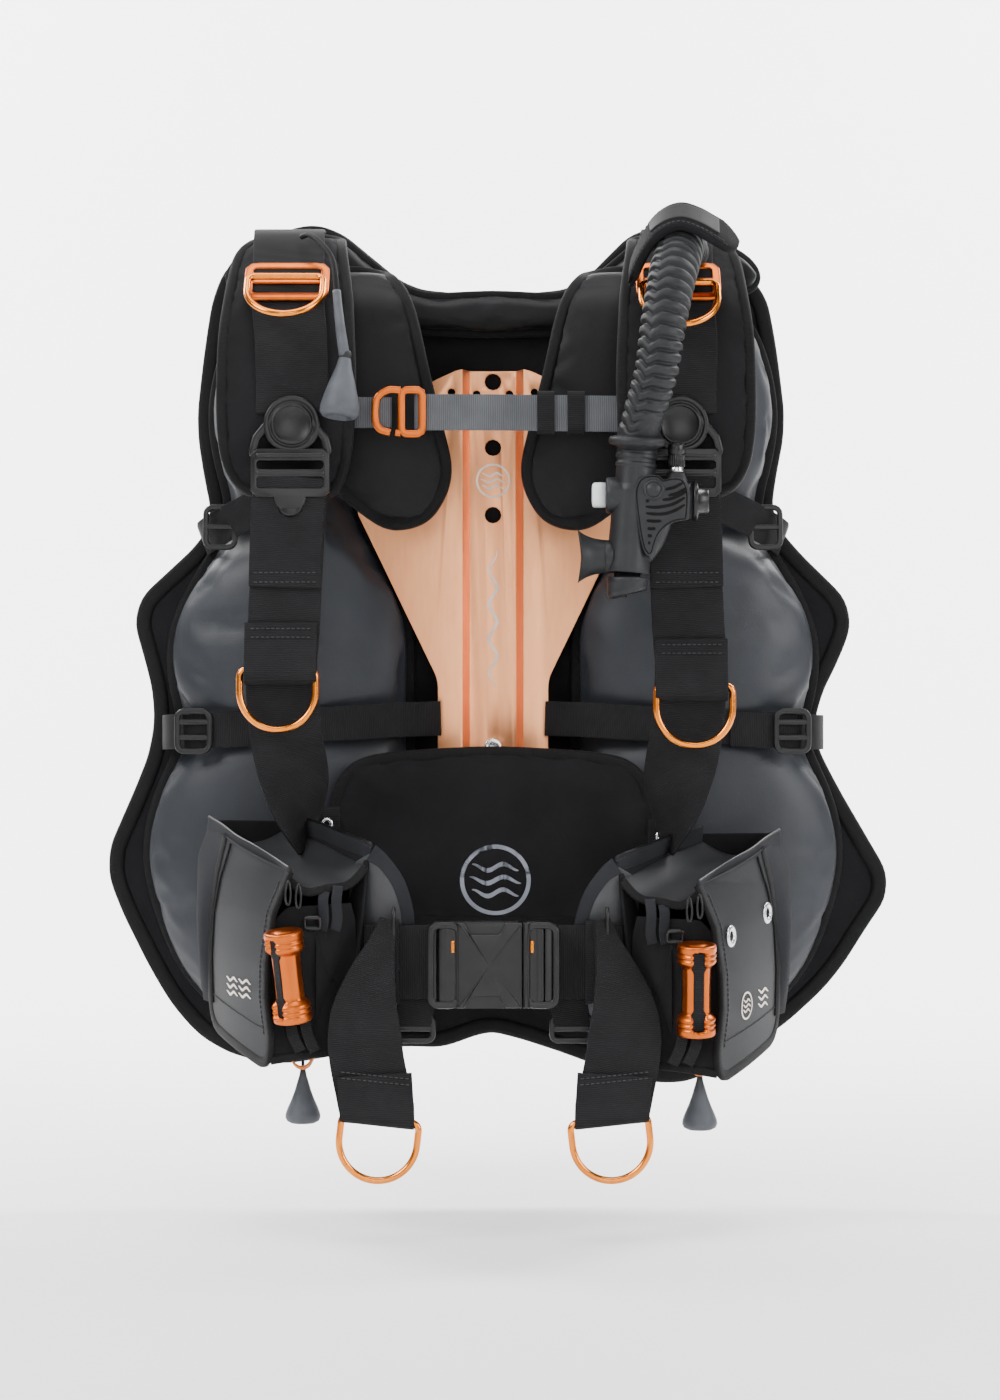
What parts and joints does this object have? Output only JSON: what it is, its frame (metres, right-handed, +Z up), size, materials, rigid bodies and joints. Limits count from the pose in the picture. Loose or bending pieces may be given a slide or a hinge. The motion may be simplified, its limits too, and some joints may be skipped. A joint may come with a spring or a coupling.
{
  "type": "buoyancy compensator vest",
  "caption": "Diver's backplate harness with an inflatable wing, shoulder and waist webbing, D-rings, integrated weight pockets and a hose inflator.",
  "frame": {"origin": "centre of the rear face of the cylinder pad, where the cylinder rests", "axes": "+Z up along the backplate's spine, -Y towards the diver, +X towards the diver's left"},
  "size_m": [0.5567, 0.2948, 0.6683],
  "materials": {
    "anodised_plate": "bead-blasted copper-orange anodising",
    "anodised_orange": "glossy orange anodising",
    "steel": "plain stainless steel",
    "coated_fabric": "coated slate-grey fabric with a low sheen",
    "black_fabric": "black woven nylon over foam, bound with tape",
    "pocket_fabric": "charcoal coated fabric",
    "black_webbing": "black ribbed webbing",
    "grey_webbing": "mid-grey ribbed webbing",
    "black_plastic": "black moulded acetal",
    "black_rubber": "matt black rubber",
    "grey_rubber": "matt grey rubber",
    "grey_plastic": "light grey moulded plastic"
  },
  "bodies": {
    "root": {"backplate": "anodised_plate", "plate_bolt": "steel", "wing_back_shell": "black_fabric", "cylinder_pad": "black_rubber", "collar": "black_fabric", "lumbar_pad": "black_fabric", "buckle_socket": "black_plastic", "shoulder_dump_cord": "black_webbing", "sternum_anchor": "grey_webbing", "hose_wrap": "black_webbing", "cam_band": "black_webbing", "cam_buckle": "black_plastic", "wing_lobe_right": "coated_fabric", "lower_strap_right": "black_webbing", "lower_slider_right": "black_plastic", "shoulder_pad_right": "black_fabric", "chest_pad_right": "black_fabric", "chest_webbing_right": "black_webbing", "strap_slide_right": "anodised_orange", "waist_belt_right": "black_webbing", "belt_loop_right": "black_webbing", "pocket_right": "pocket_fabric", "wing_lobe_left": "coated_fabric", "lower_strap_left": "black_webbing", "lower_slider_left": "black_plastic", "shoulder_pad_left": "black_fabric", "chest_pad_left": "black_fabric", "chest_webbing_left": "black_webbing", "strap_slide_left": "anodised_orange", "waist_belt_left": "black_webbing", "belt_loop_left": "black_webbing", "pocket_left": "pocket_fabric"},
    "shoulder_ring_right": {"shoulder_ring_right": "anodised_orange"},
    "chest_ring_right": {"chest_ring_right": "anodised_orange"},
    "swivel_right": {"swivel_buckle_right": "black_plastic", "ladder_lock_right": "black_plastic"},
    "waist_tail_right": {"waist_tail_right": "black_webbing"},
    "tail_ring_right": {"tail_ring_right": "anodised_orange"},
    "weight_pouch_right": {"weight_pouch_right": "black_fabric", "pouch_handle_right": "anodised_orange"},
    "lower_toggle_right": {"lower_toggle_right": "grey_rubber"},
    "shoulder_ring_left": {"shoulder_ring_left": "anodised_orange"},
    "chest_ring_left": {"chest_ring_left": "anodised_orange"},
    "swivel_left": {"swivel_buckle_left": "black_plastic", "ladder_lock_left": "black_plastic"},
    "waist_tail_left": {"waist_tail_left": "black_webbing"},
    "tail_ring_left": {"tail_ring_left": "anodised_orange"},
    "weight_pouch_left": {"weight_pouch_left": "black_fabric", "pouch_handle_left": "anodised_orange"},
    "lower_toggle_left": {"lower_toggle_left": "grey_rubber"},
    "buckle_plug": {"buckle_plug": "black_plastic"},
    "sternum": {"sternum_strap": "grey_webbing", "sternum_hook": "anodised_orange"},
    "inflator": {"hose": "black_rubber", "inflator_body": "black_plastic", "mouthpiece": "black_rubber"},
    "inflate_button": {"inflate_button": "grey_plastic"},
    "deflate_button": {"deflate_button": "black_plastic"},
    "shoulder_toggle": {"shoulder_toggle": "grey_rubber"},
    "cam_lever": {"cam_lever": "black_plastic"}
  },
  "joints": [
    {"name": "shoulder_ring_swing_right", "type": "hinge", "parent": "root", "child": "shoulder_ring_right", "pos_m": [-0.143, -0.131, 0.244], "axis": [-1, 0, 0], "range_deg": [0, 90]},
    {"name": "chest_ring_swing_right", "type": "hinge", "parent": "root", "child": "chest_ring_right", "pos_m": [-0.148, -0.146, -0.03], "axis": [-1, 0, 0], "range_deg": [0, 100]},
    {"name": "swivel_turn_right", "type": "hinge", "parent": "root", "child": "swivel_right", "pos_m": [-0.138, -0.148, 0.139], "axis": [0, -1, 0], "range_deg": [-12, 12]},
    {"name": "waist_tail_swing_right", "type": "hinge", "parent": "root", "child": "waist_tail_right", "pos_m": [-0.075, -0.19, -0.208], "axis": [-1, 0, 0], "range_deg": [0, 70]},
    {"name": "tail_ring_swing_right", "type": "hinge", "parent": "waist_tail_right", "child": "tail_ring_right", "pos_m": [-0.074, -0.205, -0.329], "axis": [-1, 0, 0], "range_deg": [-40, 80]},
    {"name": "weight_pouch_slide_right", "type": "slide", "parent": "root", "child": "weight_pouch_right", "axis": [0, -1, 0], "range_m": [0, 0.12]},
    {"name": "lower_toggle_swing_right", "type": "hinge", "parent": "root", "child": "lower_toggle_right", "pos_m": [-0.129, -0.17, -0.298], "axis": [-1, 0, 0], "range_deg": [-30, 45]},
    {"name": "shoulder_ring_swing_left", "type": "hinge", "parent": "root", "child": "shoulder_ring_left", "pos_m": [0.129, -0.131, 0.24], "axis": [-1, 0, 0], "range_deg": [0, 5]},
    {"name": "chest_ring_swing_left", "type": "hinge", "parent": "root", "child": "chest_ring_left", "pos_m": [0.139, -0.146, -0.041], "axis": [-1, 0, 0], "range_deg": [0, 100]},
    {"name": "swivel_turn_left", "type": "hinge", "parent": "root", "child": "swivel_left", "pos_m": [0.129, -0.148, 0.139], "axis": [0, -1, 0], "range_deg": [-12, 12]},
    {"name": "waist_tail_swing_left", "type": "hinge", "parent": "root", "child": "waist_tail_left", "pos_m": [0.078, -0.19, -0.208], "axis": [-1, 0, 0], "range_deg": [0, 70]},
    {"name": "tail_ring_swing_left", "type": "hinge", "parent": "waist_tail_left", "child": "tail_ring_left", "pos_m": [0.077, -0.205, -0.329], "axis": [-1, 0, 0], "range_deg": [-40, 80]},
    {"name": "weight_pouch_slide_left", "type": "slide", "parent": "root", "child": "weight_pouch_left", "axis": [0, -1, 0], "range_m": [0, 0.12]},
    {"name": "lower_toggle_swing_left", "type": "hinge", "parent": "root", "child": "lower_toggle_left", "pos_m": [0.141, -0.17, -0.3025], "axis": [-1, 0, 0], "range_deg": [-30, 45]},
    {"name": "buckle_release", "type": "slide", "parent": "root", "child": "buckle_plug", "axis": [1, 0, 0], "range_m": [0, 0.022]},
    {"name": "sternum_strap_swing", "type": "hinge", "parent": "root", "child": "sternum", "pos_m": [0.09, -0.125, 0.149], "axis": [0, 0, 1], "range_deg": [0, 60]},
    {"name": "hose_lift", "type": "hinge", "parent": "root", "child": "inflator", "pos_m": [0.15, -0.124, 0.271], "axis": [-1, 0, 0], "range_deg": [0, 40]},
    {"name": "inflate_press", "type": "slide", "parent": "inflator", "child": "inflate_button", "axis": [1, 0, 0], "range_m": [0, 0.003], "stiffness_N_per_m": 800, "springref_m": -0.002},
    {"name": "deflate_press", "type": "slide", "parent": "inflator", "child": "deflate_button", "axis": [0, 0, 1], "range_m": [0, 0.003], "stiffness_N_per_m": 800, "springref_m": -0.002},
    {"name": "dump_pull", "type": "slide", "parent": "root", "child": "shoulder_toggle", "axis": [0, 0, -1], "range_m": [0, 0.012], "stiffness_N_per_m": 300, "springref_m": -0.006},
    {"name": "cam_lever_open", "type": "hinge", "parent": "root", "child": "cam_lever", "pos_m": [0.034, 0.0764, 0.06], "axis": [0, 0, -1], "range_deg": [0, 150]}
  ]
}
